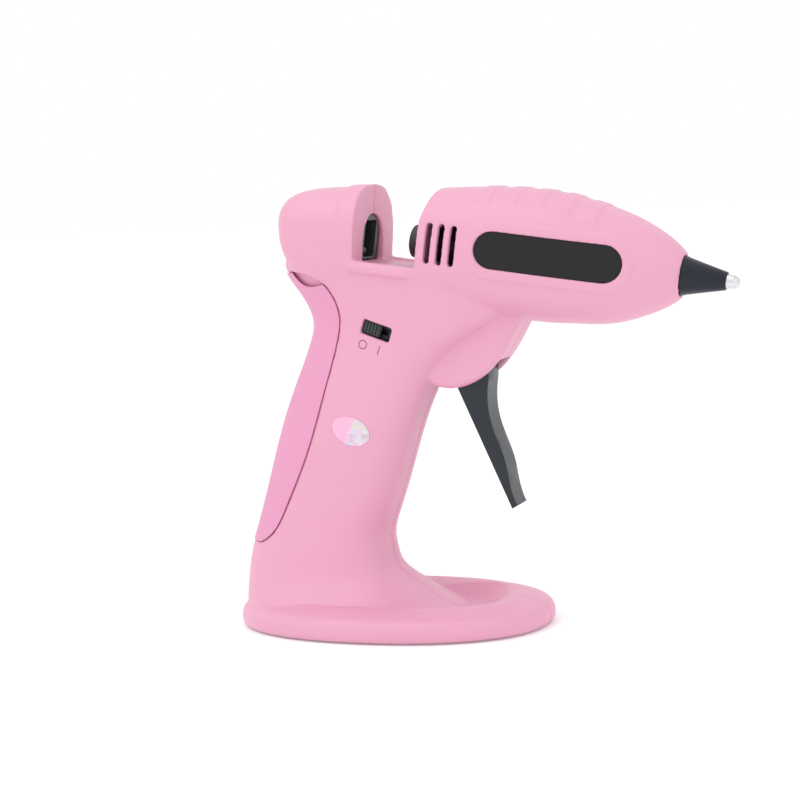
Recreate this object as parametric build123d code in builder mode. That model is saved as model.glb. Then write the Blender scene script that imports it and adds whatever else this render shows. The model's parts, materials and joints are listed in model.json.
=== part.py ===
from build123d import *
import os
from math import cos, pi, radians, sin

# A cordless hot-glue gun that stands on its own oval foot.  Millimetres and degrees.
# +X is the nozzle end, +Z is up, Z = 0 is the table and X = Y = 0 is the middle of the stand.

# ---------------------------------------------------------------- driving dimensions
stand_length = 106.6        # oval stand, heel to toe
stand_width = 72.4
stand_height = 9.9          # crown of the rim
barrel_height = 128.0       # barrel axis above the table, over the middle of the stand
barrel_tilt = 9.2           # the nozzle points down by this much
wall = 2.4                  # moulded shell
floor_gap = 0.6             # shells stand clear of the table on the rubber feet

stick_diameter = 7.0
stick_clearance = 0.5       # radial, in the inlet
slide_gap = 0.3             # between parts that slide past each other
running_gap = 0.05          # radial, shaft in hole
seat_gap = 0.02             # radial, fixed pin or screw in its hole

cell_diameter = 18.3        # lithium cell in the handle
cell_length = 65.0
pin_diameter = 3.0
trigger_width = 10.4
trigger_pull = 26.0         # degrees from rest to the handle
screw_diameter = 2.6
screw_head_diameter = 4.8
board_thickness = 1.2

tower_front = -1.1          # along the barrel axis, at the shelf
shelf_drop = 8.2            # shelf below the barrel axis
head_rear = 19.7            # along the barrel axis, at the shelf
nose_end = 102.0            # along the barrel axis

# ---------------------------------------------------------------- frames
tilt_cos, tilt_sin = cos(radians(barrel_tilt)), sin(radians(barrel_tilt))
# Local x runs along the barrel axis and local y square to it, upwards.
barrel_side = Plane(origin=(0, 0, barrel_height), x_dir=(tilt_cos, 0, -tilt_sin), z_dir=(0, -1, 0))
# The same origin, level: local x is X and local y is the height above the barrel origin.
level_side = Plane(origin=(0, 0, barrel_height), x_dir=(1, 0, 0), z_dir=(0, -1, 0))


def across(along, up=0.0):
    """Plane square to the barrel: local x is +Y, local y is up, its normal points to the nozzle."""
    return Plane(origin=barrel_side.from_local_coords((along, up, 0)), x_dir=(0, 1, 0),
                 z_dir=barrel_side.x_dir)


def ring(plane, half_x, half_y, squareness=2.4, points=16):
    """A smooth closed outline: an ellipse filled out towards its corners."""
    outline = []
    for k in range(points):
        c, s = cos(2 * pi * k / points), sin(2 * pi * k / points)
        x = half_x * abs(c) ** (2 / squareness) * (1 if c > 0 else -1)
        y = half_y * abs(s) ** (2 / squareness) * (1 if s > 0 else -1)
        outline.append((x, y))
    with BuildSketch(plane) as section:
        with BuildLine():
            Spline(*outline, periodic=True)
        make_face()
    return section.sketch.faces()[0]


# ---------------------------------------------------------------- outer forms
# Handle sections, level.  Low ones are measured up from the table and from the heel of the
# stand, high ones down from the barrel, so the length between them can change.
# (height, back edge from the heel, front edge, half width, squareness)
foot_sections = [
    (4.0, 2.6, 24.0, stand_width / 2 - 8.5, 2.5),
    (7.0, 2.1, 18.5, stand_width / 2 - 10.5, 2.5),
    (10.0, 2.0, 13.3, stand_width / 2 - 12.5, 2.5),
    (14.0, 2.1, 7.4, 21.0, 2.5),
    (18.0, 2.5, 2.4, 19.2, 2.5),
    (23.0, 3.3, 0.2, 18.0, 2.5),
    (30.0, 5.5, -0.4, 17.0, 2.5),
    (40.0, 8.9, 3.0, 16.2, 2.5),
    (52.0, 12.7, 7.4, 15.8, 2.5),
]
# (drop below the barrel origin, back edge, front edge, half width, squareness)
neck_sections = [
    (62.0, -36.0, 12.3, 15.6, 2.5),
    (50.0, -31.2, 17.7, 15.5, 2.5),
    (42.0, -27.6, 23.5, 15.4, 2.5),
    (35.0, -24.6, 32.5, 15.2, 2.6),
    (29.0, -22.8, 43.0, 15.1, 2.7),
    (23.0, -23.6, 51.0, 15.3, 2.9),
    (17.0, -26.8, 54.0, 15.9, 3.1),
    (11.0, -30.5, 54.0, 16.4, 3.3),
    (6.0, -31.3, 53.0, 15.4, 3.3),
]
# Head and shelf sections, square to the barrel.  (along, top, bottom, half width, squareness)
head_sections = [
    (-10.0, 13.0, -17.0, 16.4, 2.6),
    (5.0, 15.6, -18.6, 17.4, 2.6),
    (20.0, 18.0, -19.4, 18.0, 2.6),
    (36.0, 20.2, -20.0, 18.4, 2.6),
    (52.0, 21.3, -20.2, 18.5, 2.6),
    (64.0, 20.9, -19.8, 18.2, 2.6),
    (76.0, 18.8, -18.6, 17.1, 2.5),
    (86.0, 16.1, -16.4, 15.3, 2.3),
    (94.0, 12.7, -12.8, 12.6, 2.1),
    (99.0, 9.7, -9.8, 9.7, 2.0),
    (nose_end, 7.1, -7.1, 7.1, 2.0),
]
# Tower sections, upright.  (X, top above the barrel origin, bottom, half width)
tower_sections = [
    (-32.4, 7.4, 0.8, 4.8),
    (-31.6, 9.4, -1.4, 8.2),
    (-29.8, 12.2, -5.2, 12.6),
    (-26.6, 14.9, -11.4, 16.2),
    (-22.0, 16.2, -17.0, 17.5),
    (-17.0, 16.6, -19.2, 17.9),
    (-12.0, 16.6, -20.0, 17.9),
    (-7.0, 16.6, -20.0, 17.9),
    (-2.0, 16.6, -20.0, 17.9),
    (3.0, 16.6, -20.0, 17.9),
]
tower_squareness = 2.7
collar_back, collar_rise = -6.6, 0.5    # the raised band round the tower's front


def handle_form(inset=0.0):
    places = [(z, heel - stand_length / 2, *rest) for z, heel, *rest in foot_sections]
    places += [(barrel_height - drop, *rest) for drop, *rest in neck_sections]
    rings = []
    for z, back, front, half, squareness in places:
        plane = Plane(origin=((back + front) / 2, 0, z))
        rings.append(ring(plane, (front - back) / 2 - inset, half - inset, squareness))
    with BuildPart() as form:
        loft(rings)
    return form.part


def head_form(inset=0.0):
    rings = []
    for along, top, bottom, half, squareness in head_sections:
        plane = across(along, (top + bottom) / 2)
        rings.append(ring(plane, half - inset, (top - bottom) / 2 - inset, squareness))
    with BuildPart() as form:
        loft(rings)
    return form.part


def tower_form(inset=0.0):
    rings = []
    for x, top, bottom, half in tower_sections:
        back = x + inset if x < tower_sections[-1][0] else x
        centre = barrel_height + (top + bottom) / 2
        plane = Plane(origin=(back, 0, centre), x_dir=(0, 1, 0), z_dir=(1, 0, 0))
        rings.append(ring(plane, half - inset, (top - bottom) / 2 - inset, tower_squareness))
    with BuildPart() as form:
        loft(rings)
    return form.part


def collar_form():
    """The raised band round the tower's front, above the shelf."""
    x, top, bottom, half = tower_sections[-2]
    middle = barrel_height + (top + bottom) / 2
    rings = []
    for start, rise in ((-2.0, -0.4), (0.0, collar_rise - 0.1), (2.2, collar_rise), (7.0, collar_rise)):
        plane = Plane(origin=(collar_back + start, 0, middle), x_dir=(0, 1, 0), z_dir=(1, 0, 0))
        rings.append(ring(plane, half + rise, (top - bottom) / 2 + rise, tower_squareness))
    with BuildPart() as form:
        loft(rings)
        split(bisect_by=Plane.XY.offset(barrel_height - shelf_drop), keep=Keep.TOP)
    return form.part


# ---- stand: an oval with a crowned rim and a drip dish in front of the handle
stand_squareness = 2.2
# the rim's profile: (inset from the side, height, counted down from the crown)
rim_profile = [(0.0, 5.0), (0.7, 3.5), (2.5, 2.1), (6.0, 1.05), (11.0, 0.3), (17.0, 0.0)]
dish_front = stand_length / 2 - 14.6
dish_back = -2.0
dish_depth = 5.4
dish_half_width = stand_width / 2 - 14.6
dish_squareness = 2.6
dish_wall = 1.5
dish_centre = (dish_front + dish_back) / 2
dish_half_length = (dish_front - dish_back) / 2


def stand_outline(inset, height):
    return ring(Plane.XY.offset(height), stand_length / 2 - inset, stand_width / 2 - inset, stand_squareness)


def dish_form(grow=0.0, top=stand_height + 1.0):
    """The dish, narrower at its floor; grow thickens it all round."""
    low = stand_height - dish_depth - grow
    floor = ring(Plane(origin=(dish_centre - 1.5, 0, low)), dish_half_length - 5.5 + grow,
                 dish_half_width - 5.0 + grow, dish_squareness)
    mouth = ring(Plane(origin=(dish_centre, 0, stand_height)), dish_half_length + grow,
                 dish_half_width + grow, dish_squareness)
    with BuildPart() as form:
        loft([floor, mouth])
        extrude(mouth, amount=top - stand_height)
    return form.part


def stand_form(inset=0.0):
    if inset == 0.0:
        rings = [stand_outline(0.8, floor_gap), stand_outline(0.0, floor_gap + 1.3)]
    else:
        rings = [stand_outline(inset, -1.0)]
    rings += [stand_outline(inset + shrink, stand_height - inset - drop) for shrink, drop in rim_profile]
    with BuildPart() as form:
        loft(rings)
    return form.part


# ---- cheeks: the hood that the trigger hinges in, under the head
cheek_half_width = trigger_width / 2 + 3.1
trigger_pivot = (27.0, -40.8)      # level_side coordinates


def cheek_form():
    with BuildPart() as form:
        with BuildSketch(level_side):
            with BuildLine():
                lip = Spline((50.6, -27.0), (44.6, -37.2), (37.0, -45.6), (28.6, -49.4), (18.4, -48.2))
                Polyline(lip @ 1, (19.0, -38.0), (40.0, -24.0), lip @ 0)
            make_face()
        extrude(amount=cheek_half_width, both=True)
        sides = form.faces().sort_by(Axis.Y)
        rounded = (sides[0].edges() + sides[-1].edges()).filter_by(GeomType.BSPLINE)
        fillet(rounded, 2.0)
    return form.part


lip_rise, lip_inside = 0.8, 15.0        # the shelf's edges stand up beside its floor
sill_height, sill_half_width, sill_back = 4.0, 18.2, -8.5


def gap_form(grow=0.0):
    """The open gap between tower and head: its floor lies lower between the shelf's two lips."""
    with BuildPart() as form:
        for floor, half_width in ((-shelf_drop + lip_rise, stand_width), (-shelf_drop, lip_inside + grow)):
            with BuildSketch(barrel_side):
                with BuildLine():
                    Polyline(
                        (tower_front - grow, floor - grow),
                        (head_rear + grow, floor - grow),
                        (head_rear + grow, 8.0),
                        (head_rear + 2.6 + grow, 22.0),
                        (head_rear + 2.6 + grow, 40.0),
                        (tower_front - 3.6 - grow, 40.0),
                        close=True,
                    )
                make_face()
            extrude(amount=half_width, both=True)
    return form.part


def sill_form():
    """The rounded edge that runs along the shelf and onto the tower's sides."""
    length = head_rear + 2.2 - sill_back
    middle = across(sill_back + length / 2, lip_rise - shelf_drop - sill_height / 2)
    plane = Plane(origin=middle.origin, x_dir=barrel_side.x_dir, z_dir=barrel_side.y_dir)
    with BuildPart() as form:
        with BuildSketch(plane):
            RectangleRounded(length, 2 * sill_half_width, 7.5)
        extrude(amount=sill_height / 2, both=True)
        upwards = form.faces().sort_by(Axis(plane.origin, plane.z_dir))
        fillet(upwards[-1].edges() + upwards[0].edges(), sill_height / 2 - 0.2)
    return form.part


# ---------------------------------------------------------------- small makers
def cross_bar(plane, radius, half_length):
    """A round bar across the gun, centred on the mid-plane."""
    with BuildPart() as bar:
        with BuildSketch(plane):
            Circle(radius)
        extrude(amount=half_length, both=True)
    return bar.part


def turned(*points):
    """A solid of revolution about the barrel axis, from (along, radius) points."""
    with BuildPart() as solid:
        with BuildSketch(barrel_side):
            with BuildLine():
                Polyline(*points, close=True)
            make_face()
        revolve(axis=Axis(barrel_side.origin, barrel_side.x_dir))
    return solid.part


def barrel_box(start, end, low, high, half_width):
    """A block squared up to the barrel axis."""
    with BuildPart() as box:
        with BuildSketch(barrel_side):
            with Locations(((start + end) / 2, (low + high) / 2)):
                Rectangle(end - start, high - low)
        extrude(amount=half_width, both=True)
    return box.part


def side_prism(plane, *points, half_width):
    """A prism across the gun from an outline in its side view."""
    with BuildPart() as prism:
        with BuildSketch(plane):
            with BuildLine():
                Polyline(*points, close=True)
            make_face()
        extrude(amount=half_width, both=True)
    return prism.part


def side_point(plane, x, y):
    """Plane like the given one, moved to its local point (x, y)."""
    return Plane(origin=plane.from_local_coords((x, y, 0)), x_dir=plane.x_dir, z_dir=plane.z_dir)


# ---------------------------------------------------------------- feed and trigger layout
inlet_radius = stick_diameter / 2 + stick_clearance
bore_radius = stick_diameter / 2 + 0.3
pin_radius = pin_diameter / 2
trigger_half_width = trigger_width / 2
fork_half_gap = 3.0                 # between the trigger's two arms
arm_length = 24.0                   # trigger pivot to drive pin
swing = trigger_pull / 2            # the arms lean this far to each side of square
pivot_plane = Plane(origin=level_side.from_local_coords((*trigger_pivot, 0)),
                    x_dir=barrel_side.x_dir, z_dir=barrel_side.z_dir)
pivot_local = barrel_side.to_local_coords(pivot_plane.origin)
drive_along = pivot_local.X - arm_length * sin(radians(swing))
drive_up = pivot_local.Y + arm_length * cos(radians(swing))
drive_top = pivot_local.Y + arm_length
stroke = 2 * arm_length * sin(radians(swing))
drive_plane = side_point(barrel_side, drive_along, drive_up)

carriage_length = 22.2
carriage_front = tower_front - 1.8
carriage_back = carriage_front - carriage_length
carriage_half_width = 8.3
carriage_bottom = slide_gap - shelf_drop
arch_up = -1.5                      # centre of the carriage's round top
leg_back, leg_front = carriage_front - 18.5, carriage_front - 12.5
leg_bottom = drive_up - 4.0
bar_half_width = 2.4
bar_top = -shelf_drop - wall - slide_gap       # it passes under the shelf
rivet_plane = side_point(barrel_side, (leg_back + leg_front) / 2, leg_bottom + 3.4)
jaw_plane = side_point(barrel_side, carriage_front - 7.4, carriage_bottom + 2.6)
jaw_pin_radius = 0.9
mouth_top, mouth_bottom = 4.9, carriage_bottom + 0.8    # the carriage's opening, jaw below the stick


def arch_prism(start, end, half_width, bottom):
    """A round-topped bar along the barrel, the section of the feed carriage."""
    with BuildPart() as bar:
        with BuildSketch(across(start)):
            with Locations((0, arch_up)):
                Circle(half_width)
            with Locations((0, (arch_up + bottom) / 2)):
                Rectangle(2 * half_width, arch_up - bottom)
            with Locations((0, bottom - half_width)):
                Rectangle(2 * half_width, 2 * half_width, mode=Mode.SUBTRACT)
        extrude(amount=end - start)
    return bar.part


# ---------------------------------------------------------------- melt end, on the barrel axis
chamber_start, chamber_end, neck_end = 27.0, 88.0, 97.0
chamber_radius, neck_radius = 6.5, 4.5
spigot_end, spigot_radius = 34.0, 5.2
sleeve_start = head_rear - 7.2
sleeve_radius = bore_radius + 1.5
sleeve_flare = spigot_radius + 1.3
nose_hole_radius = 6.2
tip_end = nose_end + 17.4
heater_length, heater_width, heater_thickness = 24.0, 6.6, 2.2
heater_along, heater_up = 62.0, 8.2
block_half_length, block_half_width, block_top = 17.0, 5.4, 10.6

with BuildPart() as melt_chamber:
    add(turned((chamber_start, 0), (chamber_start, spigot_radius), (spigot_end, spigot_radius),
               (spigot_end, chamber_radius), (chamber_end, chamber_radius),
               (chamber_end, neck_radius), (neck_end, neck_radius), (neck_end, 0)))
    add(barrel_box(heater_along - block_half_length, heater_along + block_half_length, 0,
                   block_top, block_half_width))
    add(turned((chamber_start - 1, 0), (chamber_start - 1, bore_radius), (79.0, bore_radius),
               (84.0, 1.6), (neck_end - 5, 1.6), (neck_end - 5, 2.6), (neck_end + 1, 2.6),
               (neck_end + 1, 0)), mode=Mode.SUBTRACT)
    add(barrel_box(heater_along - 30, heater_along + 30, heater_up - heater_thickness / 2 - seat_gap,
                   heater_up + heater_thickness / 2 + seat_gap, heater_width / 2 + seat_gap),
        mode=Mode.SUBTRACT)

with BuildPart() as heater:
    add(barrel_box(heater_along - heater_length / 2, heater_along + heater_length / 2,
                   heater_up - heater_thickness / 2, heater_up + heater_thickness / 2,
                   heater_width / 2))

with BuildPart() as intake_sleeve:
    add(turned((sleeve_start, bore_radius + 0.6), (sleeve_start + 0.5, sleeve_radius),
               (head_rear + wall + 1.6, sleeve_radius), (chamber_start - 1, sleeve_flare),
               (spigot_end - seat_gap, sleeve_flare), (spigot_end - seat_gap, spigot_radius + seat_gap),
               (chamber_start - seat_gap, spigot_radius + seat_gap),
               (chamber_start - seat_gap, bore_radius), (sleeve_start + 3.0, bore_radius)))

bush_start, bush_end, bush_radius = chamber_end + 1.0, neck_end - 2.5, 7.2
with BuildPart() as nose_bush:
    add(turned((bush_start, neck_radius + seat_gap), (bush_start, bush_radius),
               (bush_end, bush_radius), (bush_end, neck_radius + seat_gap)))

sleeve_end = tip_end - 3.8
with BuildPart() as nozzle_tip:
    add(turned((neck_end - 4.5, 0.8), (neck_end - 4.5, 2.55), (neck_end + 0.1, 2.55),
               (neck_end + 0.1, 4.3), (neck_end + 3.2, 4.3), (neck_end + 3.2, 3.5),
               (sleeve_end - 0.4, 2.25), (tip_end - 1.6, 2.1), (tip_end - 0.5, 1.6),
               (tip_end, 1.0), (tip_end, 0.6), (tip_end - 6, 0.8)))

with BuildPart() as nozzle_sleeve:
    add(turned((neck_end + 3.6, 3.55), (neck_end + 3.6, nose_hole_radius - 0.05),
               (nose_end + 0.6, nose_hole_radius - 0.1), (nose_end + 1.8, 5.7),
               (nose_end + 7.0, 4.4), (sleeve_end, 2.8), (sleeve_end, 2.3), (sleeve_end - 0.4, 2.29)))

# ---------------------------------------------------------------- feed carriage
with BuildPart() as feed_carriage:
    add(arch_prism(carriage_back, carriage_front, carriage_half_width, carriage_bottom))
    add(barrel_box(leg_back, leg_front, leg_bottom, carriage_bottom + 1, 5.0))
    with BuildSketch(across(carriage_front)):
        with Locations((0, (mouth_top + mouth_bottom) / 2)):
            RectangleRounded(9.4, mouth_top - mouth_bottom, 1.2)
    extrude(amount=-9.5, mode=Mode.SUBTRACT)
    with BuildSketch(across(carriage_front)):
        Circle(bore_radius)
    extrude(amount=-carriage_length, mode=Mode.SUBTRACT)
    add(barrel_box(leg_back - 1, leg_front + 1, leg_bottom - 1, leg_bottom + 6.6, bar_half_width + seat_gap),
        mode=Mode.SUBTRACT)
    add(cross_bar(rivet_plane, pin_radius + seat_gap, 6.0), mode=Mode.SUBTRACT)
    add(cross_bar(jaw_plane, jaw_pin_radius + seat_gap, 6.6), mode=Mode.SUBTRACT)

with BuildPart() as bar_rivet:
    add(cross_bar(rivet_plane, pin_radius, 5.1))
    with BuildSketch(rivet_plane.offset(5.0 + seat_gap), rivet_plane.offset(-5.8 - seat_gap)):
        Circle(2.4)
    extrude(amount=0.8)

slot_low = drive_up - pin_radius - slide_gap
slot_high = drive_top + pin_radius + slide_gap
with BuildPart() as pull_bar:
    add(barrel_box(leg_back + 0.5, drive_along, leg_bottom + 0.2, bar_top, bar_half_width))
    add(barrel_box(drive_along - 3.6, drive_along + 3.6, slot_low - 1.6, slot_high + 1.5, bar_half_width))
    with BuildSketch(side_point(barrel_side, drive_along, (slot_low + slot_high) / 2)):
        SlotOverall(slot_high - slot_low, pin_diameter + 0.24, rotation=90)
    extrude(amount=3, both=True, mode=Mode.SUBTRACT)
    add(cross_bar(rivet_plane, pin_radius + seat_gap, 6.0), mode=Mode.SUBTRACT)

# the small toothed jaw that bites the stick tilts on its own pin in the carriage
jaw_half_width = 2.4
with BuildPart() as stick_jaw:
    with BuildSketch(jaw_plane):
        Circle(1.5)
        with BuildLine():
            Polyline((0, -1.0), (5.6, -1.0), (5.9, 0.4), (5.2, 1.1), (4.6, 0.5), (4.0, 1.2),
                     (3.4, 0.6), (2.8, 1.2), (0, 1.2), close=True)
        make_face()
    extrude(amount=jaw_half_width, both=True)
    add(cross_bar(jaw_plane, jaw_pin_radius + running_gap, 6), mode=Mode.SUBTRACT)

with BuildPart() as jaw_pin:
    add(cross_bar(jaw_plane, jaw_pin_radius, 6.4))

# ---------------------------------------------------------------- trigger
arm_half_thickness = 3.3
with BuildPart() as trigger:
    with BuildSketch(level_side):
        with BuildLine():
            front = Spline((37.6, -46.7), (36.9, -52.0), (37.5, -60.0), (39.7, -67.0), (42.0, -74.0),
                           (43.3, -81.6), (45.3, -87.9))
            Polyline(front @ 1, (43.6, -88.9), (26.8, -49.4), (22.9, -44.5), (23.0, -37.5),
                     (27.0, -35.6), (34.5, -35.6), (37.6, -38.6), front @ 0)
        make_face()
    extrude(amount=trigger_half_width, both=True)
    with BuildSketch(pivot_plane):
        with Locations(Location((-arm_length / 2 * sin(radians(swing)), arm_length / 2 * cos(radians(swing))),
                                90 + swing)):
            SlotCenterToCenter(arm_length, 2 * arm_half_thickness)
    extrude(amount=trigger_half_width, both=True)
    add(cross_bar(pivot_plane, 5.0, fork_half_gap), mode=Mode.SUBTRACT)
    with BuildSketch(pivot_plane):
        with Locations((-8.0, 14.0)):
            Rectangle(32.0, 28.0)
    extrude(amount=fork_half_gap, both=True, mode=Mode.SUBTRACT)
    add(cross_bar(pivot_plane, pin_radius + running_gap, 10), mode=Mode.SUBTRACT)
    add(cross_bar(drive_plane, pin_radius + seat_gap, 10), mode=Mode.SUBTRACT)

pin_half_length = cheek_half_width - 1.2
with BuildPart() as trigger_pin:
    add(cross_bar(pivot_plane, pin_radius, pin_half_length))
with BuildPart() as drive_pin:
    add(cross_bar(drive_plane, pin_radius, trigger_half_width - 0.2))

# torsion spring round the trigger pin, between the two arms
spring_wire, spring_turns, coil_radius = 0.8, 4, 3.0
spring_pitch = spring_wire + 0.15
coil_length = spring_turns * spring_pitch
with BuildPart() as trigger_spring:
    coil_start = pivot_plane.from_local_coords((0, 0, coil_length / 2))
    with BuildLine() as wire_path:
        Helix(spring_pitch, coil_length, coil_radius, center=coil_start, direction=(0, 1, 0))
    with BuildSketch(Plane(origin=wire_path.line @ 0, z_dir=wire_path.line % 0)):
        Circle(spring_wire / 2)
    sweep(path=wire_path.line)

# ---------------------------------------------------------------- electrics
foot_z, foot_heel, foot_front_x, *_ = foot_sections[6]
neck_drop, neck_back_x, neck_front_x, *_ = neck_sections[1]
foot_centre = Vector((foot_heel - stand_length / 2 + foot_front_x) / 2, 0, foot_z)
neck_centre = Vector((neck_back_x + neck_front_x) / 2, 0, barrel_height - neck_drop)
cell_axis = (neck_centre - foot_centre).normalized()
cell_plane = Plane(origin=foot_centre - cell_axis * 7.0, x_dir=(0, 1, 0), z_dir=cell_axis)

with BuildPart() as battery_cell:
    with BuildSketch(cell_plane):
        Circle(cell_diameter / 2)
    extrude(amount=cell_length)
    fillet(edges(), 0.8)
    with BuildSketch(cell_plane.offset(cell_length)):
        Circle(3.2)
    extrude(amount=0.8)

with BuildPart() as battery_tabs:
    with BuildSketch(cell_plane.offset(-seat_gap - 0.4), cell_plane.offset(cell_length + 0.8 + seat_gap)):
        RectangleRounded(15.0, 5.0, 1.0)
    extrude(amount=0.4)

switch_centre = (3.4, -30.0)        # level_side coordinates
switch_turn = 20.0                  # front end lower
window_length, window_height = 10.4, 4.8
knob_length, knob_height, knob_thickness = 6.0, 4.2, 1.6
knob_travel = window_length - knob_length - 2 * slide_gap
switch_side = 14.9                  # the shell's side here, from the mid-plane
body_depth, board_depth = 3.6, 7.6
knob_shift = -knob_travel / 2


def switch_plane(depth, x=0.0, y=0.0):
    """Plane on the -Y side, depth mm in from the shell's side; local x runs along the switch."""
    centre = level_side.from_local_coords((*switch_centre, switch_side - depth))
    turned_plane = Plane(origin=centre, x_dir=(cos(radians(switch_turn)), 0, -sin(radians(switch_turn))),
                         z_dir=(0, -1, 0))
    return side_point(turned_plane, x, y)


with BuildPart() as switch_body:
    with BuildSketch(switch_plane(board_depth)):
        RectangleRounded(13.4, 6.4, 0.4)
    extrude(amount=board_depth - body_depth)
    with BuildSketch(switch_plane(body_depth)):
        Rectangle(2.2 + knob_travel + 2 * slide_gap, 2.0)
    extrude(amount=-2.4, mode=Mode.SUBTRACT)

with BuildPart() as switch_knob:
    with BuildSketch(switch_plane(body_depth - slide_gap, knob_shift)):
        RectangleRounded(knob_length, knob_height, 0.5)
    extrude(amount=knob_thickness)
    with BuildSketch(switch_plane(body_depth - slide_gap - knob_thickness, knob_shift)):
        with GridLocations(1.1, 0, 5, 1):
            Rectangle(0.6, knob_height - 0.8)
    extrude(amount=0.5)
    with BuildSketch(switch_plane(body_depth - slide_gap, knob_shift)):
        Rectangle(2.2, 1.4)
    extrude(amount=-1.8)

with BuildPart() as switch_board:
    with BuildSketch(switch_plane(board_depth, -1.0, -1.0)):
        RectangleRounded(24.0, 13.0, 1.0)
    extrude(amount=-board_thickness)
    for x, y, width, height in ((-8.0, 0.5, 4.0, 5.0), (2.0, -5.0, 6.0, 2.2), (8.2, -2.0, 2.0, 4.0)):
        with BuildSketch(switch_plane(board_depth + board_thickness, x, y)):
            Rectangle(width, height)
        extrude(amount=-1.1)

heel = -stand_length / 2
socket_level = 6.9
socket_width, socket_height, socket_length = 8.94, 3.26, 7.4
board_top = socket_level - socket_height / 2 - seat_gap
board_back, board_front = heel + wall + 3.2, heel + wall + 29.0
with BuildPart() as charge_board:
    with BuildSketch(Plane(origin=((board_back + board_front) / 2, 0, board_top))):
        RectangleRounded(board_front - board_back, 14.0, 1.0)
    extrude(amount=-board_thickness)
    for x, y, width, depth, height in ((13.5, 2.8, 4.0, 4.0, 1.0), (13.5, -3.6, 3.0, 2.6, 0.9),
                                       (19.0, 0.0, 2.2, 4.6, 0.8)):
        with BuildSketch(Plane(origin=(board_back + x, y, board_top))):
            Rectangle(width, depth)
        extrude(amount=height)

with BuildPart() as charging_socket:
    mouth = Plane(origin=(heel + 0.9, 0, socket_level), x_dir=(0, 1, 0), z_dir=(1, 0, 0))
    with BuildSketch(mouth):
        SlotOverall(socket_width, socket_height)
    extrude(amount=socket_length)
    with BuildSketch(mouth):
        SlotOverall(socket_width - 0.6, socket_height - 0.6)
    extrude(amount=socket_length - 0.8, mode=Mode.SUBTRACT)
    with BuildSketch(mouth.offset(1.0)):
        Rectangle(6.6, 0.7)
    extrude(amount=socket_length - 1.0)

# ---------------------------------------------------------------- shells
# screw places in level_side coordinates; heads sit on the +Y side
screw_places = [(84.0, -2.0), (36.5, 8.5), (63.5, -24.5), (-13.5, -20.5),
                (2.0, 62.0 - barrel_height), (-36.0, 39.0 - barrel_height)]
screw_seat, screw_reach = 8.0, 6.0
screw_radius, head_radius = screw_diameter / 2, screw_head_diameter / 2
screw_head_height = 1.9
boss_radius = 3.4
stand_screw_places = [(-22.0, 26.5), (-22.0, -26.5), (24.0, 24.6), (24.0, -24.6)]
cover_top = floor_gap + wall
stand_screw_top = stand_height - 3.6
rubber_places = [(-33.0, 17.0), (-33.0, -17.0), (35.0, 15.0), (35.0, -15.0)]
rubber_radius, rubber_recess = 4.5, 1.0
inlay_along, inlay_up, inlay_length, inlay_height = 62.5, 1.5, 47.0, 11.8
inlay_thickness, inlay_sink, bezel_width, bezel_rise = 1.0, 0.15, 3.0, 0.5
vent_places = [(23.6, 1.1), (27.7, 1.1), (31.8, 1.1)]
vent_length, vent_width = 13.0, 2.0
pad_along, pad_width, pad_rise = (39.0, 47.7, 56.4, 65.1, 73.8), 4.2, 0.4
pad_half_length = 14.5
grip_bottom = 28.2
grip_thickness, grip_rise, grip_groove = 1.4, 0.35, 0.25


def side_slot(length, height, half_width):
    """A round-ended bar through the head where the dark inlays sit."""
    with BuildPart() as bar:
        with BuildSketch(side_point(barrel_side, inlay_along, inlay_up)):
            SlotOverall(length, height)
        extrude(amount=half_width, both=True)
    return bar.part


def grip_region(shrink=0.0):
    """Everything behind the grip's seam, in the side view; shrink leaves a groove along the seam."""
    low = grip_bottom - barrel_height
    seam_points = [(-28.0, -10.4), (-20.0, -11.1), (-14.4, -14.1), (-11.0, -19.0), (-9.4, -25.5),
                   (-10.2, -32.0), (-15.1, -48.1), (-24.6, low + 25.9), (-31.0, low + 12.7),
                   (-36.0, low + 4.2), (-42.0, low)]
    last = len(seam_points) - 1
    inner_points = [(x - shrink, y - shrink * (1 - 2 * k / last)) for k, (x, y) in enumerate(seam_points)]
    with BuildPart() as region:
        with BuildSketch(level_side):
            with BuildLine():
                seam = Spline(*inner_points)
                Polyline(seam @ 1, (-70.0, low + shrink), (-70.0, -10.4 - shrink), seam @ 0)
            make_face()
        extrude(amount=30.0, both=True)
    return region.part


def cell_cradle(along):
    """A rib across the handle with a round hole that holds the cell."""
    with BuildPart() as rib:
        with BuildSketch(cell_plane.offset(along)):
            Rectangle(60, 60)
            Circle(cell_diameter / 2 + 0.1, mode=Mode.SUBTRACT)
        extrude(amount=1.6)
    return rib.part


def carriage_guide():
    """A rib across the tower that the carriage slides through."""
    with BuildPart() as rib:
        add(barrel_box(tower_front - 12.4, tower_front - 10.8, carriage_bottom, 18, 20))
        add(arch_prism(tower_front - 14, tower_front - 9, carriage_half_width + slide_gap, -shelf_drop - 30),
            mode=Mode.SUBTRACT)
    return rib.part


with BuildPart() as outer:
    add(stand_form())
    add(dish_form(), mode=Mode.SUBTRACT)
    add(handle_form())
    add(head_form())
    add(tower_form())
    add(collar_form())
    add(cheek_form())
    add(sill_form())
    add(gap_form(), mode=Mode.SUBTRACT)

with BuildPart() as cavity:
    add(stand_form(wall))
    add(handle_form(wall))
    add(dish_form(grow=dish_wall), mode=Mode.SUBTRACT)
    add(head_form(wall))
    add(tower_form(wall))
    add(gap_form(wall), mode=Mode.SUBTRACT)
    add(barrel_box(nose_end - wall, nose_end + 5, -20, 20, 20), mode=Mode.SUBTRACT)

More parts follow.
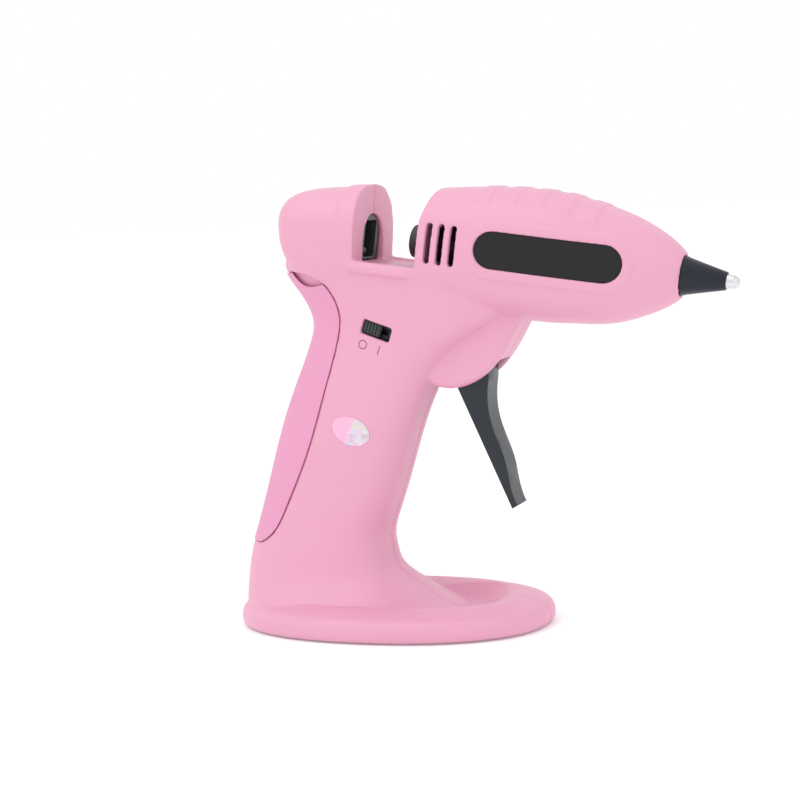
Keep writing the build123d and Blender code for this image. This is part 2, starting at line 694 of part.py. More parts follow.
# raised features on the head: the frame round each inlay, and the low pads over its top
with BuildPart() as frame_band:
    add(head_form(-bezel_rise))
    add(side_slot(inlay_length + 2 * bezel_width, inlay_height + 2 * bezel_width, 30), mode=Mode.INTERSECT)
with BuildPart() as top_pads:
    add(head_form(-pad_rise))
    with BuildSketch(barrel_side):
        with Locations(*[(along, 20.0) for along in pad_along]):
            Rectangle(pad_width, 30.0)
    extrude(amount=pad_half_length, both=True, mode=Mode.INTERSECT)

# ribs and bosses inside the shells
with BuildPart() as inside:
    for rib_start in (43.0, 82.0):
        add(barrel_box(rib_start, rib_start + 1.6, -22, 22, 20))
    add(barrel_box(bush_start + 1.0, bush_end - 1.0, -14, 14, 20))
    add(turned((0, 0), (0, chamber_radius + seat_gap), (bush_start, chamber_radius + seat_gap),
               (bush_start, bush_radius + seat_gap), (bush_end + 1, bush_radius + seat_gap),
               (bush_end + 1, 0)), mode=Mode.SUBTRACT)
    add(barrel_box(0, chamber_end, 0, block_top + slide_gap, block_half_width + seat_gap), mode=Mode.SUBTRACT)
    add(carriage_guide())
    with BuildSketch(across(-36.0)):
        Circle(inlet_radius + 2.4)
    extrude(amount=6.5)
    for along_cell in (10.0, 50.0):
        add(cell_cradle(along_cell))
    for place in screw_places:
        add(cross_bar(side_point(level_side, *place), boss_radius, 20))
    with BuildSketch(Plane.XY.offset(cover_top)):
        with Locations(*stand_screw_places):
            Circle(3.0)
    extrude(amount=stand_height - cover_top - 1.4)
    add(outer.part, mode=Mode.INTERSECT)

with BuildPart() as openings:
    add(turned((nose_end - 4.6, 0), (nose_end - 4.6, nose_hole_radius), (nose_end + 5, nose_hole_radius),
               (nose_end + 5, 0)))
    add(turned((head_rear - 3, 0), (head_rear - 3, sleeve_radius + seat_gap),
               (head_rear + wall + 1.5, sleeve_radius + seat_gap), (head_rear + wall + 1.5, 0)))
    add(turned((-45.0, 0), (-45.0, inlet_radius), (-27.0, inlet_radius), (-27.0, 0)))
    add(arch_prism(tower_front - 5, tower_front + 2, carriage_half_width + slide_gap, -shelf_drop))
    slot_front, slot_back = trigger_pivot[0] + 14.8, trigger_pivot[0] - 6.4
    add(side_prism(level_side, (slot_back, -58.0), (slot_front, -58.0), (slot_front, -41.0),
                   (slot_front - 1.9, -30.0), (slot_front - 1.9, -13.0), (slot_back, -13.0),
                   half_width=trigger_half_width + slide_gap))
    add(cross_bar(pivot_plane, pin_radius + seat_gap, pin_half_length + 0.05))
    for along, up in vent_places:
        with BuildSketch(side_point(barrel_side, along, up)):
            SlotOverall(vent_length, vent_width, rotation=90)
        extrude(amount=25, both=True)
    with BuildSketch(switch_plane(-3.0)):
        RectangleRounded(window_length, window_height, 0.4)
    extrude(amount=-7.5)
    with BuildSketch(Plane(origin=(heel - 3, 0, socket_level), x_dir=(0, 1, 0), z_dir=(1, 0, 0))):
        SlotOverall(socket_width + 0.5, socket_height + 0.5)
    extrude(amount=3 + wall + 4.0)
    for place in screw_places:
        plane = side_point(level_side, *place)
        with BuildSketch(plane.offset(screw_reach + 0.4)):
            Circle(screw_radius + seat_gap)
        extrude(amount=-screw_reach - 0.4 - screw_seat)
        with BuildSketch(plane.offset(-screw_seat)):
            Circle(head_radius + 0.2)
        extrude(amount=-25)
    with BuildSketch(Plane.XY.offset(cover_top - 0.5)):
        with Locations(*stand_screw_places):
            Circle(screw_radius + seat_gap)
    extrude(amount=stand_screw_top - cover_top + 0.8)

with BuildPart() as recesses:
    add(side_slot(inlay_length, inlay_height, 30))
    add(head_form(inlay_sink + inlay_thickness), mode=Mode.SUBTRACT)
with BuildPart() as grip_recess:
    add(grip_region())
    add(handle_form(grip_thickness - grip_rise), mode=Mode.SUBTRACT)

with BuildPart() as body:
    add(outer.part)
    add(frame_band.part)
    add(top_pads.part)
    add(cavity.part, mode=Mode.SUBTRACT)
    add(inside.part)
    add(openings.part, mode=Mode.SUBTRACT)
    add(recesses.part, mode=Mode.SUBTRACT)
    add(grip_recess.part, mode=Mode.SUBTRACT)

with BuildPart() as right_shell:
    add(body.part)
    split(bisect_by=Plane.XZ, keep=Keep.TOP)
with BuildPart() as left_shell:
    add(body.part)
    split(bisect_by=Plane.XZ, keep=Keep.BOTTOM)

with BuildPart() as rear_grip:
    add(handle_form(-grip_rise))
    add(handle_form(grip_thickness - grip_rise), mode=Mode.SUBTRACT)
    add(grip_region(grip_groove), mode=Mode.INTERSECT)
    add(tower_form(-grip_groove), mode=Mode.SUBTRACT)

with BuildPart() as inlays:
    add(head_form(inlay_sink))
    add(head_form(inlay_sink + inlay_thickness), mode=Mode.SUBTRACT)
    add(side_slot(inlay_length - 0.2, inlay_height - 0.2, 30), mode=Mode.INTERSECT)
with BuildPart() as right_inlay:
    add(inlays.solids().sort_by(Axis.Y)[0])
with BuildPart() as left_inlay:
    add(inlays.solids().sort_by(Axis.Y)[-1])

sticker_plane = Plane(origin=level_side.from_local_coords((-6.9, 65.7 - barrel_height, 0)),
                      x_dir=(cos(radians(25)), 0, -sin(radians(25))), z_dir=(0, -1, 0))
with BuildPart() as inspection_sticker:
    add(handle_form(-0.2))
    add(handle_form(-0.02), mode=Mode.SUBTRACT)
    with BuildSketch(sticker_plane):
        Ellipse(6.5, 4.5)
    extrude(amount=30, mode=Mode.INTERSECT)

with BuildPart() as shell_screws:
    for place in screw_places:
        plane = side_point(level_side, *place)
        with BuildSketch(plane.offset(screw_reach)):
            Circle(screw_radius)
        extrude(amount=-screw_reach - screw_seat - 0.8)
        with BuildSketch(plane.offset(-screw_seat - seat_gap)):
            Circle(head_radius)
        extrude(amount=-screw_head_height)
        with BuildSketch(plane.offset(-screw_seat - screw_head_height + 0.7)):
            Rectangle(2.6, 0.6)
            Rectangle(0.6, 2.6)
        extrude(amount=-1.0, mode=Mode.SUBTRACT)
    rims = shell_screws.edges().filter_by(GeomType.CIRCLE).filter_by(
        lambda edge: abs(edge.radius - head_radius) < 0.01 and edge.arc_center.Y > screw_seat + 1)
    chamfer(rims, 0.5)

with BuildPart() as base_cover:
    extrude(stand_outline(wall + 0.2, floor_gap), amount=wall - 0.05)
    chamfer(edges().group_by(Axis.Z)[0], 0.4)
    with BuildSketch(Plane.XY.offset(floor_gap)):
        with Locations(*rubber_places):
            Circle(rubber_radius + 0.05)
    extrude(amount=rubber_recess, mode=Mode.SUBTRACT)
    with BuildSketch(Plane.XY.offset(floor_gap)):
        with Locations(*stand_screw_places):
            Circle(head_radius + 0.2)
    extrude(amount=1.5, mode=Mode.SUBTRACT)
    with BuildSketch(Plane.XY.offset(floor_gap)):
        with Locations(*stand_screw_places):
            Circle(screw_radius + 0.15)
    extrude(amount=wall, mode=Mode.SUBTRACT)
    with BuildSketch(Plane.XY.offset(cover_top - 0.1)):
        with Locations((board_back + 5, 4.5), (board_back + 5, -4.5),
                       (board_front - 3, 4.5), (board_front - 3, -4.5)):
            Circle(1.6)
    extrude(until=Until.NEXT, target=charge_board.part)

with BuildPart() as rubber_feet:
    with BuildSketch():
        with Locations(*rubber_places):
            Circle(rubber_radius)
    extrude(amount=floor_gap + rubber_recess - 0.02)
    fillet(edges().group_by(Axis.Z)[0], 0.3)

with BuildPart() as base_screws:
    with BuildSketch(Plane.XY.offset(floor_gap + 0.1)):
        with Locations(*stand_screw_places):
            Circle(head_radius)
    extrude(amount=1.38)
    with BuildSketch(Plane.XY.offset(floor_gap + 1.0)):
        with Locations(*stand_screw_places):
            Circle(screw_radius)
    extrude(amount=stand_screw_top - floor_gap - 1.0)
    with BuildSketch(Plane.XY.offset(floor_gap + 0.1)):
        with Locations(*stand_screw_places):
            Rectangle(2.6, 0.6)
            Rectangle(0.6, 2.6)
    extrude(amount=0.8, mode=Mode.SUBTRACT)

# ---------------------------------------------------------------- write the pieces
pieces = {
    "right_shell": right_shell, "left_shell": left_shell, "base_cover": base_cover,
    "rubber_feet": rubber_feet, "base_screws": base_screws, "shell_screws": shell_screws,
    "rear_grip": rear_grip, "right_inlay": right_inlay, "left_inlay": left_inlay,
    "inspection_sticker": inspection_sticker, "nozzle_sleeve": nozzle_sleeve,
    "nozzle_tip": nozzle_tip, "nose_bush": nose_bush, "melt_chamber": melt_chamber,
    "heater": heater, "intake_sleeve": intake_sleeve, "feed_carriage": feed_carriage,
    "pull_bar": pull_bar, "bar_rivet": bar_rivet, "stick_jaw": stick_jaw, "jaw_pin": jaw_pin,
    "trigger": trigger, "trigger_pin": trigger_pin, "drive_pin": drive_pin,
    "trigger_spring": trigger_spring, "battery_cell": battery_cell, "battery_tabs": battery_tabs,
    "switch_body": switch_body, "switch_knob": switch_knob, "switch_board": switch_board,
    "charge_board": charge_board, "charging_socket": charging_socket,
}
os.makedirs("parts", exist_ok=True)
for name, piece in pieces.items():
    piece.part.label = name
    export_step(piece.part, f"parts/{name}.step")
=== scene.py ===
# %% [markdown]
# # A cordless glue gun
#
# The gun is two pink plastic half shells with a rubber grip let into the back of the handle,
# dark windows in the head, a dark trigger and a silicone cone with a silver nozzle.  Its sizes
# and joints come with the engineering model, which is loaded first.  What is left for this
# lesson is what a moulder and a painter would add: soft edges on the mouldings, a parting line,
# grain, print, foil, and light to see them by.

# %% Load the frame
import json
from math import cos, pi, radians, sin

import bpy
from mathutils import Matrix, Vector


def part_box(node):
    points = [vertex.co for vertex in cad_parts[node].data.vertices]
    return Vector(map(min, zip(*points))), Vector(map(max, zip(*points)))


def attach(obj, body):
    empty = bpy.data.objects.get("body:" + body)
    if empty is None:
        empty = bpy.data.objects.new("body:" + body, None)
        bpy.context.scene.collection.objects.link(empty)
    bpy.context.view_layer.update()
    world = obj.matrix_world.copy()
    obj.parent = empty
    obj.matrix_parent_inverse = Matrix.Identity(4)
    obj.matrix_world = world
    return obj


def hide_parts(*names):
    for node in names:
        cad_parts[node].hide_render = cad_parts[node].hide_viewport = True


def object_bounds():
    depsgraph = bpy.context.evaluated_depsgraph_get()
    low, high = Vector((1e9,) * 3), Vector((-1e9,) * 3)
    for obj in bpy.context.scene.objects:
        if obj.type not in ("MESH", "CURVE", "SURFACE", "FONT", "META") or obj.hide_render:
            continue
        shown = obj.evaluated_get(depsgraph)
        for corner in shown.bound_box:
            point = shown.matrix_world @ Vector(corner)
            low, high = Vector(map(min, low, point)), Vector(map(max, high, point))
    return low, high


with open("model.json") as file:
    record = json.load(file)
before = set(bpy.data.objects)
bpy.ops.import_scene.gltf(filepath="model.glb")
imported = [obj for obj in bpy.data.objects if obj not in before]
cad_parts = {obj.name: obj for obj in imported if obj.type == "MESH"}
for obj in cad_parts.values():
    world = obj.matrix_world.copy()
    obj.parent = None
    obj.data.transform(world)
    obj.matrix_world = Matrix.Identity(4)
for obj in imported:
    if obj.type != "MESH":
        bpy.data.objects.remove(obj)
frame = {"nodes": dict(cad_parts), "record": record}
cad_low, cad_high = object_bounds()
nodes = frame["nodes"]
mm = 0.001
print("CAD box", [round(v / mm, 1) for v in (*cad_low, *cad_high)])

# %% [markdown]
# ## The camera
#
# The camera stands in front of the gun's right side, a little towards the nozzle and a little
# above, and it is turned a few degrees about its own axis.  A camera is placed most easily by
# where it looks and from how far away, so its three directions are worked out from two angles.

# %% Camera
look_at = Vector((4.8, 0.0, 74.0)) * mm
view_azimuth, view_elevation, view_roll = radians(21.3), radians(5.85), radians(2.85)
view_distance = 611.5 * mm
lens, sensor = 83.6, 36.0

back = Vector((sin(view_azimuth) * cos(view_elevation), -cos(view_azimuth) * cos(view_elevation),
               sin(view_elevation)))
level = Vector((cos(view_azimuth), sin(view_azimuth), 0.0))
rise = back.cross(level)
right = level * cos(view_roll) - rise * sin(view_roll)
up = level * sin(view_roll) + rise * cos(view_roll)

camera = bpy.data.objects.new("camera", bpy.data.cameras.new("camera"))
bpy.context.collection.objects.link(camera)
camera.data.lens, camera.data.sensor_width = lens, sensor
turn = Matrix((right, up, back)).transposed().to_4x4()
camera.matrix_world = Matrix.Translation(look_at + back * view_distance) @ turn
bpy.context.scene.camera = camera
print("camera at", [round(v, 3) for v in camera.location])

# %% [markdown]
# ## Shader maths that reads like maths
#
# A finish is mostly small formulas, such as "grain times depth plus a little smear".  Wiring
# Math nodes by hand hides them, so a socket is wrapped in a class that knows plus, minus and
# times.  Everything else goes through one method that takes a node's type and its inputs.

# %% A socket that can be added and multiplied


class Value:
    """An output socket of a material's node tree, or a plain number, in an expression."""

    def __init__(self, tree, socket):
        self.tree, self.socket = tree, socket

    def math(self, operation, other, flip=False):
        pair = (other, self) if flip else (self, other)
        return self.tree.node("ShaderNodeMath", {0: pair[0], 1: pair[1]}, operation=operation)

    def __add__(self, other):
        return self.math("ADD", other)

    def __sub__(self, other):
        return self.math("SUBTRACT", other)

    def __rsub__(self, other):
        return self.math("SUBTRACT", other, flip=True)

    def __mul__(self, other):
        return self.math("MULTIPLY", other)

    __radd__, __rmul__ = __add__, __mul__


class Finish:
    """A material under construction; its shader's sockets are set by name."""

    def __init__(self, name, **sockets):
        self.material = bpy.data.materials.new(name)
        self.material.use_nodes = True
        self.nodes, self.links = self.material.node_tree.nodes, self.material.node_tree.links
        self.shader = self.nodes["Principled BSDF"]
        self.place = self.node("ShaderNodeTexCoord", {}, output="Object")
        self.set(**sockets)

    def node(self, kind, inputs, output=0, **settings):
        made = self.nodes.new(kind)
        for key, value in settings.items():
            setattr(made, key, value)
        for key, value in inputs.items():
            self.join(made.inputs[key], value)
        return Value(self, made.outputs[output])

    def join(self, socket, value):
        if isinstance(value, Value):
            self.links.new(value.socket, socket)
        else:
            socket.default_value = value

    def set(self, **sockets):
        for key, value in sockets.items():
            self.join(self.shader.inputs[key.replace("_", " ")], value)
        return self

    def noise(self, scale, detail=2.0, roughness=0.5, place=None):
        return self.node("ShaderNodeTexNoise", {"Vector": place or self.place, "Scale": scale,
                                                "Detail": detail, "Roughness": roughness})

    def mix_colour(self, factor, first, second):
        made = self.nodes.new("ShaderNodeMix")
        made.data_type = "RGBA"
        for socket, value in ((made.inputs[0], factor), (made.inputs[6], first), (made.inputs[7], second)):
            self.join(socket, value)
        return Value(self, made.outputs[2])

    def bump(self, height, distance, strength=1.0):
        return self.set(Normal=self.node("ShaderNodeBump", {"Height": height, "Distance": distance,
                                                            "Strength": strength}))

    def along(self, axis):
        """Distance from the origin along a direction, in metres."""
        return self.node("ShaderNodeVectorMath", {0: self.place, 1: axis}, output="Value",
                         operation="DOT_PRODUCT")


def paint(red, green, blue):
    """A colour given as on a paint card, 0 to 255, in the linear values that shaders use."""
    def linear(level):
        share = level / 255
        return share / 12.92 if share <= 0.04045 else ((share + 0.055) / 1.055) ** 2.4
    return (linear(red), linear(green), linear(blue), 1.0)


# %% [markdown]
# ## The finishes
#
# Injection-moulded plastic is never one flat colour: pigment drifts a little across a part, the
# spark-eroded mould leaves a fine grain, and handling polishes it unevenly.  So each finish is a
# base colour, a slow drift, a fine grain in the bump and a little variation in roughness.  All
# of it reads Object coordinates, in metres, so that the grain has a real size.

# %% Moulded plastics and rubbers
barrel_axis = (cos(radians(9.2)), 0.0, -sin(radians(9.2)))


def moulded(name, colour, deep, roughness, grain, depth, shine):
    """Plastic or rubber: colour drifts towards deep; grain is the size of its texture."""
    finish = Finish(name, Specular_IOR_Level=shine)
    cloud = finish.noise(18.0, detail=3.0)
    texture = finish.noise(1 / grain, detail=2.0, roughness=0.6)
    smear = finish.noise(55.0, detail=4.0, roughness=0.6)
    smear_range = 0.12
    finish.set(Base_Color=finish.mix_colour(cloud, colour, deep),
               Roughness=smear * smear_range + (roughness - smear_range / 2))
    return finish.bump(texture, depth).material


# slot: colour, deeper colour, roughness, grain in mm, its depth in mm, shine
mouldings = {
    "shell_pink": ((223, 162, 186), (218, 153, 180), 0.42, 0.45, 0.018, 0.5),
    "cover_pink": ((219, 156, 182), (214, 149, 176), 0.48, 0.5, 0.03, 0.5),
    "grip_rubber": ((221, 152, 185), (216, 145, 179), 0.56, 0.38, 0.05, 0.5),
    "inlay_dark": ((39, 39, 39), (32, 32, 33), 0.45, 0.4, 0.012, 0.18),
    "trigger_plastic": ((37, 43, 49), (29, 34, 40), 0.27, 0.6, 0.02, 0.35),
    "cone_silicone": ((26, 31, 43), (18, 22, 33), 0.34, 0.5, 0.015, 0.32),
    "carriage_plastic": ((44, 50, 48), (34, 38, 37), 0.38, 0.5, 0.02, 0.5),
    "sleeve_silicone": ((42, 40, 42), (34, 33, 36), 0.45, 0.5, 0.02, 0.5),
    "jaw_grey": ((104, 104, 104), (84, 84, 86), 0.40, 0.4, 0.02, 0.5),
    "knob_black": ((52, 62, 58), (40, 48, 46), 0.34, 0.4, 0.015, 0.5),
    "switch_black": ((24, 26, 26), (18, 19, 20), 0.42, 0.4, 0.02, 0.5),
    "bar_plastic": ((226, 222, 208), (214, 208, 190), 0.45, 0.6, 0.02, 0.5),
    "bush_plastic": ((205, 198, 184), (190, 182, 168), 0.5, 0.6, 0.02, 0.5),
    "foot_rubber": ((34, 34, 35), (26, 26, 27), 0.7, 0.3, 0.04, 0.5),
    "heater_ceramic": ((236, 233, 226), (224, 219, 210), 0.6, 0.25, 0.02, 0.5),
}
finishes = {}
for slot, (colour, deep, roughness, grain, depth, shine) in mouldings.items():
    finishes[slot] = moulded(slot, paint(*colour), paint(*deep), roughness, grain * mm, depth * mm, shine)
print(len(finishes), "moulded finishes ready")

# %% [markdown]
# Metals differ by how they were cut.  Turned parts carry fine rings round their axis, ground and
# drawn ones fine lines along it, and cast ones a dull, pitted skin.

# %% Metals


def turned(name, colour, roughness, pitch, axis=barrel_axis):
    """Lathe rings at a given pitch along the axis."""
    finish = Finish(name, Metallic=1.0, Base_Color=colour)
    rings = finish.node("ShaderNodeMath", {0: finish.along(axis) * (2 * pi / pitch)}, operation="SINE")
    haze = finish.noise(140.0, detail=4.0)
    haze_range = 0.14
    finish.set(Roughness=haze * haze_range + (roughness - haze_range / 2))
    return finish.bump(rings * 0.5 + haze * 0.4, 0.012 * mm).material


def plated(name, colour, roughness, drift=160.0):
    """Stamped or plated steel with a light haze."""
    finish = Finish(name, Metallic=1.0)
    haze = finish.noise(drift, detail=5.0, roughness=0.65)
    haze_range = 0.2
    finish.set(Base_Color=finish.mix_colour(haze, colour, paint(150, 150, 154)),
               Roughness=haze * haze_range + (roughness - haze_range / 2))
    return finish.bump(haze, 0.01 * mm).material


finishes["tip_metal"] = turned("tip_metal", paint(214, 215, 219), 0.26, 0.32 * mm)
finishes["pin_steel"] = turned("pin_steel", paint(178, 179, 182), 0.28, 0.25 * mm, axis=(0.0, 1.0, 0.0))
finishes["chamber_aluminium"] = plated("chamber_aluminium", paint(186, 188, 190), 0.45, drift=420.0)
platings = {"screw_steel": ((168, 168, 172), 0.3), "spring_steel": ((160, 161, 165), 0.26),
            "tab_nickel": ((188, 184, 172), 0.28), "socket_steel": ((190, 191, 194), 0.22)}
for slot, (colour, roughness) in platings.items():
    finishes[slot] = plated(slot, paint(*colour), roughness)
print("metal finishes ready")

# %% [markdown]
# The cell's shrink sleeve, the circuit boards and the inspection label are printed films.  The
# board shows its tracks as lighter green under the mask.  The label is half pink film and half
# foil with a honeycomb of facets, and it carries no words.

# %% Films and boards


def board_finish():
    finish = Finish("board_green", Coat_Weight=0.4)
    tracks = finish.node("ShaderNodeTexBrick", {
        "Vector": finish.place, "Color1": paint(12, 92, 58), "Color2": paint(10, 84, 52),
        "Mortar": paint(34, 128, 84), "Scale": 260.0, "Mortar Size": 0.03, "Row Height": 0.4}, output="Color")
    finish.set(Base_Color=tracks, Roughness=finish.noise(300.0) * 0.1 + 0.3)
    return finish.bump(finish.noise(1500.0), 0.01 * mm).material


def cell_finish():
    finish = Finish("cell_sleeve", Coat_Weight=0.3)
    wrinkle = finish.noise(260.0, detail=3.0)
    finish.set(Base_Color=finish.mix_colour(wrinkle, paint(40, 104, 158), paint(34, 92, 146)),
               Roughness=wrinkle * 0.15 + 0.22)
    return finish.bump(wrinkle, 0.05 * mm).material


def label_finish():
    """Pink film towards the back, foil with small facets towards the front."""
    finish = Finish("sticker_film", Coat_Weight=0.6)
    low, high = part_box("inspection_sticker")
    middle = (low + high) / 2
    tilt = radians(25)
    facing = (cos(tilt), 0.0, -sin(tilt))
    from_middle = finish.along(facing) - middle.dot(Vector(facing))
    edge = finish.noise(500.0) * 0.0006
    foil = finish.node("ShaderNodeMapRange", {"Value": from_middle + edge, "From Min": -0.5 * mm,
                                              "From Max": 0.8 * mm})
    facet = finish.node("ShaderNodeTexVoronoi", {"Vector": finish.place, "Scale": 720.0, "Randomness": 0.25},
                        output="Color")
    silver = finish.mix_colour(0.35, paint(206, 190, 208), facet)
    silver = finish.mix_colour(0.42, silver, paint(226, 206, 222))
    film = finish.mix_colour(finish.noise(260.0), paint(236, 164, 198), paint(244, 184, 212))
    finish.set(Base_Color=finish.mix_colour(foil, film, silver), Metallic=foil * 0.55,
               Roughness=0.42 - foil * 0.16)
    return finish.material


finishes["board_green"], finishes["cell_sleeve"] = board_finish(), cell_finish()
finishes["sticker_film"] = label_finish()
print("film finishes ready")

# %% [markdown]
# ## From nodes to finishes
#
# Every node of the model names a material slot.  A table from slot to finish gives each node its
# look, and any slot that was forgotten stops the script at once.

# %% Hand out the finishes
slot_of = {part["node"]: part["material_slot"] for part in frame["record"]["subparts"]}
body_of = {node: body for body, members in frame["record"]["behaviour"]["bodies"].items()
           for node in members}
for name, node in nodes.items():
    node.data.materials.clear()
    node.data.materials.append(finishes[slot_of[name]])
print(len(nodes), "nodes painted")

# %% [markdown]
# ## Mouldings with soft edges
#
# A mould has no knife edges: every corner of a moulded part has a small radius, and so do the
# lines where one form runs into another.  On small parts a Bevel modifier gives that.  A copy of
# the node is made first, because the model itself must not change, and its loose triangles are
# merged so that the bevel finds its edges.

# %% Copies that can be worked on


def pick_only(thing):
    bpy.ops.object.select_all(action="DESELECT")
    thing.select_set(True)
    bpy.context.view_layer.objects.active = thing


def merged_copy(node, name):
    """A copy of a node with its triangles joined into one surface."""
    source = nodes[node]
    copy = bpy.data.objects.new(name, source.data.copy())
    bpy.context.collection.objects.link(copy)
    copy.data.name = name
    pick_only(copy)
    bpy.ops.object.mode_set(mode="EDIT")
    bpy.ops.mesh.select_all(action="SELECT")
    bpy.ops.mesh.remove_doubles(threshold=0.002 * mm)
    bpy.ops.object.mode_set(mode="OBJECT")
    return copy


def modify(thing, kind, **settings):
    """Adds a modifier, sets it and applies it."""
    pick_only(thing)
    modifier = thing.modifiers.new(kind.lower(), kind)
    for key, value in settings.items():
        setattr(modifier, key, value)
    bpy.ops.object.modifier_apply(modifier=modifier.name)


def stand_in(piece, node):
    """The piece takes over from a node: it joins the node's body, and the node is hidden."""
    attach(piece, body_of[node])
    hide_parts(node)


def soften(node, name, radius, segments=3, angle=35.0):
    """A node with rounded edges and smooth shading."""
    piece = merged_copy(node, name)
    modify(piece, "BEVEL", width=radius, segments=segments, limit_method="ANGLE",
           angle_limit=radians(angle), harden_normals=False, use_clamp_overlap=True)
    pick_only(piece)
    bpy.ops.object.shade_smooth_by_angle(angle=radians(angle))
    stand_in(piece, node)
    print(name, len(piece.data.polygons), "faces")
    return piece


# %% [markdown]
# ## The two half shells
#
# The shells are too large and too rich in edges for a bevel.  Instead each half is remeshed on a
# fine grid and relaxed a little, which rounds every edge and crease alike, as polishing does a
# mould.  Where the halves meet, the same rounding leaves the fine groove of a parting line.

# %% Remesh and relax the shells
grid = 0.45 * mm
shell_faces = 180000
smoothing_passes = 4


def polish(node, name):
    """A node with every edge rounded alike, by a fine grid and a few smoothing passes."""
    shell = merged_copy(node, name)
    modify(shell, "REMESH", mode="VOXEL", voxel_size=grid, adaptivity=0.0, use_smooth_shade=True)
    modify(shell, "SMOOTH", factor=0.5, iterations=smoothing_passes)
    triangles = 2 * len(shell.data.polygons)
    if triangles > shell_faces:
        modify(shell, "DECIMATE", ratio=shell_faces / triangles)
    pick_only(shell)
    bpy.ops.object.shade_smooth()
    shell.data.materials.clear()
    shell.data.materials.append(finishes[slot_of[node]])
    stand_in(shell, node)
    print(name, triangles, "triangles before thinning,", len(shell.data.polygons), "after")
    return shell


near_shell = polish("right_shell", "near_half_shell")
polish("left_shell", "far_half_shell")

# %% [markdown]
# ## The smaller mouldings
#
# The trigger is worn by a finger and has the largest radius.  The knob's ribs are fine, so its
# radius is the smallest.  The rest take a radius of a fifth of a millimetre or a little more.

# %% Soften the smaller mouldings
soften("rear_grip", "soft_rear_grip", 0.25 * mm)
soften("trigger", "soft_trigger", 1.1 * mm, segments=4)
soften("switch_knob", "soft_switch_knob", 0.12 * mm, segments=2)
soften("feed_carriage", "soft_feed_carriage", 0.4 * mm)
for node in ("right_inlay", "left_inlay", "nozzle_sleeve", "nozzle_tip", "intake_sleeve", "stick_jaw"):
    soften(node, "soft_" + node, 0.2 * mm, segments=2)

# %% [markdown]
# ## The switch marks
#
# Beside the switch the shell is pad-printed with the usual two marks, a bar for on and a ring for
# off.  Print is a film of ink: here each mark is shaped flat, turned to face the shell and laid
# on it by a Shrinkwrap modifier, which also raises it by the thickness of the ink.

# %% Print the marks
ink = Finish("mark_ink", Base_Color=paint(122, 92, 106), Roughness=0.6)
ink.bump(ink.noise(3000.0), 0.004 * mm)
mark_tilt = radians(20)
mark_right = Vector((cos(mark_tilt), 0.0, -sin(mark_tilt)))
mark_up = Vector((sin(mark_tilt), 0.0, cos(mark_tilt)))
mark_size, mark_stroke, ink_film = 1.5 * mm, 0.32 * mm, 0.03 * mm
switch_low, switch_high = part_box("switch_body")
marks_middle = (switch_low + switch_high) / 2 - mark_up * 5.6 * mm
mark_spacing = 2.9 * mm
outside = cad_low.y - 5 * mm


def flat_start(add_primitive, name, **size):
    """A flat primitive round the origin, left open in edit mode for shaping."""
    bpy.ops.object.select_all(action="DESELECT")
    add_primitive(**size)
    mark = bpy.context.active_object
    mark.name = mark.data.name = name
    bpy.ops.object.mode_set(mode="EDIT")
    bpy.ops.mesh.select_all(action="SELECT")
    return mark


def print_on_shell(mark, across):
    """Turns a flat mark to the shell's near side and lays it on the surface."""
    bpy.ops.object.mode_set(mode="OBJECT")
    centre = marks_middle + mark_right * across
    facing = Matrix((mark_right, mark_up, mark_right.cross(mark_up))).transposed().to_4x4()
    mark.data.transform(Matrix.Translation((centre.x, outside, centre.z)) @ facing)
    modify(mark, "SHRINKWRAP", target=near_shell, wrap_method="PROJECT", use_project_y=True,
           offset=ink_film)
    mark.data.materials.append(ink.material)
    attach(mark, "body")


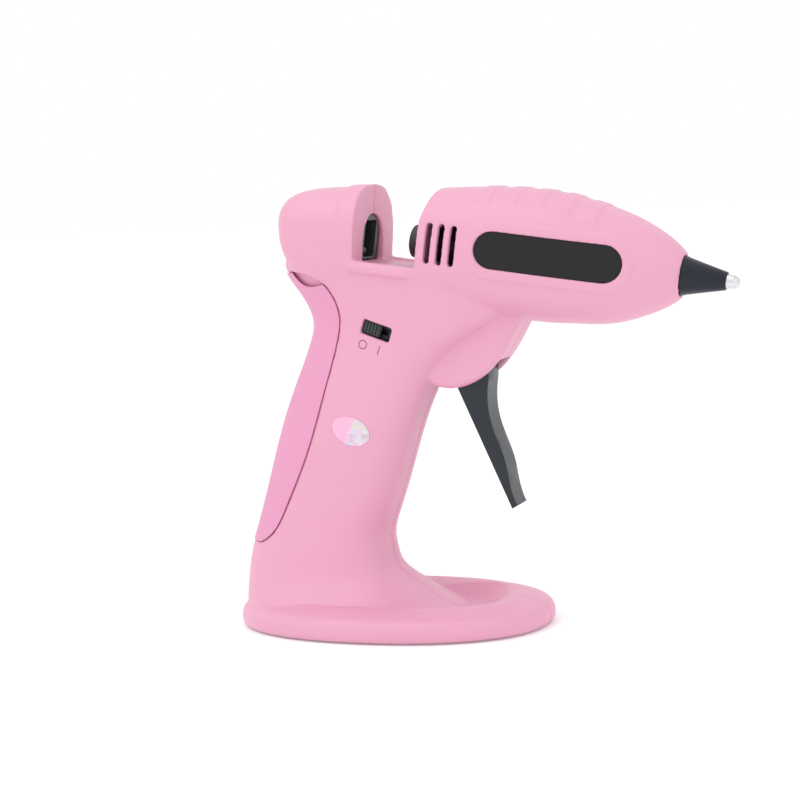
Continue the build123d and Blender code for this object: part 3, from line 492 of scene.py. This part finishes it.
off_mark = flat_start(bpy.ops.mesh.primitive_circle_add, "off_mark", vertices=40, radius=mark_size,
                      fill_type="NGON")
bpy.ops.mesh.inset(thickness=mark_stroke)
bpy.ops.mesh.delete(type="FACE")
print_on_shell(off_mark, -mark_spacing)

on_mark = flat_start(bpy.ops.mesh.primitive_plane_add, "on_mark", size=1.0)
bpy.ops.transform.resize(value=(mark_stroke, 2 * mark_size, 1.0))
bpy.ops.mesh.subdivide(number_cuts=5)
print_on_shell(on_mark, mark_spacing)
print("switch marks printed")

# %% [markdown]
# ## The room
#
# A product picture is taken on a white sweep with large soft lights.  A broad light above and to
# the left of the camera shows the forms, a second fills the right side, and a white world keeps
# every shadow pale.

# %% Floor, world and lights
floor_paint = Finish("floor_white", Base_Color=(0.9, 0.9, 0.9, 1.0), Roughness=0.9,
                     Emission_Color=(1.0, 1.0, 1.0, 1.0), Emission_Strength=0.14)
bpy.ops.mesh.primitive_plane_add(size=60.0, location=(0.0, 0.0, cad_low.z))
floor = bpy.context.active_object
floor.name = "floor"
floor.data.materials.append(floor_paint.material)

world = bpy.data.worlds.new("studio")
bpy.context.scene.world = world
world.use_nodes = True
world.node_tree.nodes["Background"].inputs["Color"].default_value = (1.0, 1.0, 1.0, 1.0)
world.node_tree.nodes["Background"].inputs["Strength"].default_value = 1.0


def soft_light(name, azimuth, elevation, distance, size, power):
    """An area light that looks at the gun's middle."""
    a, e = radians(azimuth), radians(elevation)
    away = Vector((sin(a) * cos(e), -cos(a) * cos(e), sin(e)))
    bpy.ops.object.light_add(type="AREA", location=look_at + away * distance)
    light = bpy.context.active_object
    light.name = name
    light.data.size, light.data.energy = size, power
    light.rotation_mode = "QUATERNION"
    light.rotation_quaternion = away.to_track_quat("Z", "Y")
    return light


soft_light("key_light", -32, 52, 1.0, 0.8, 2.2)
soft_light("side_light", 60, 25, 1.1, 0.7, 0.6)
soft_light("top_light", 20, 85, 0.9, 0.9, 0.8)

scene = bpy.context.scene
scene.view_settings.view_transform = "Standard"
scene.view_settings.look = "None"
scene.view_settings.exposure = 0.0
print("studio ready")

# %% [markdown]
# ## Sizes
#
# Softer edges must not change how large the gun is.  Its box was taken before any work.
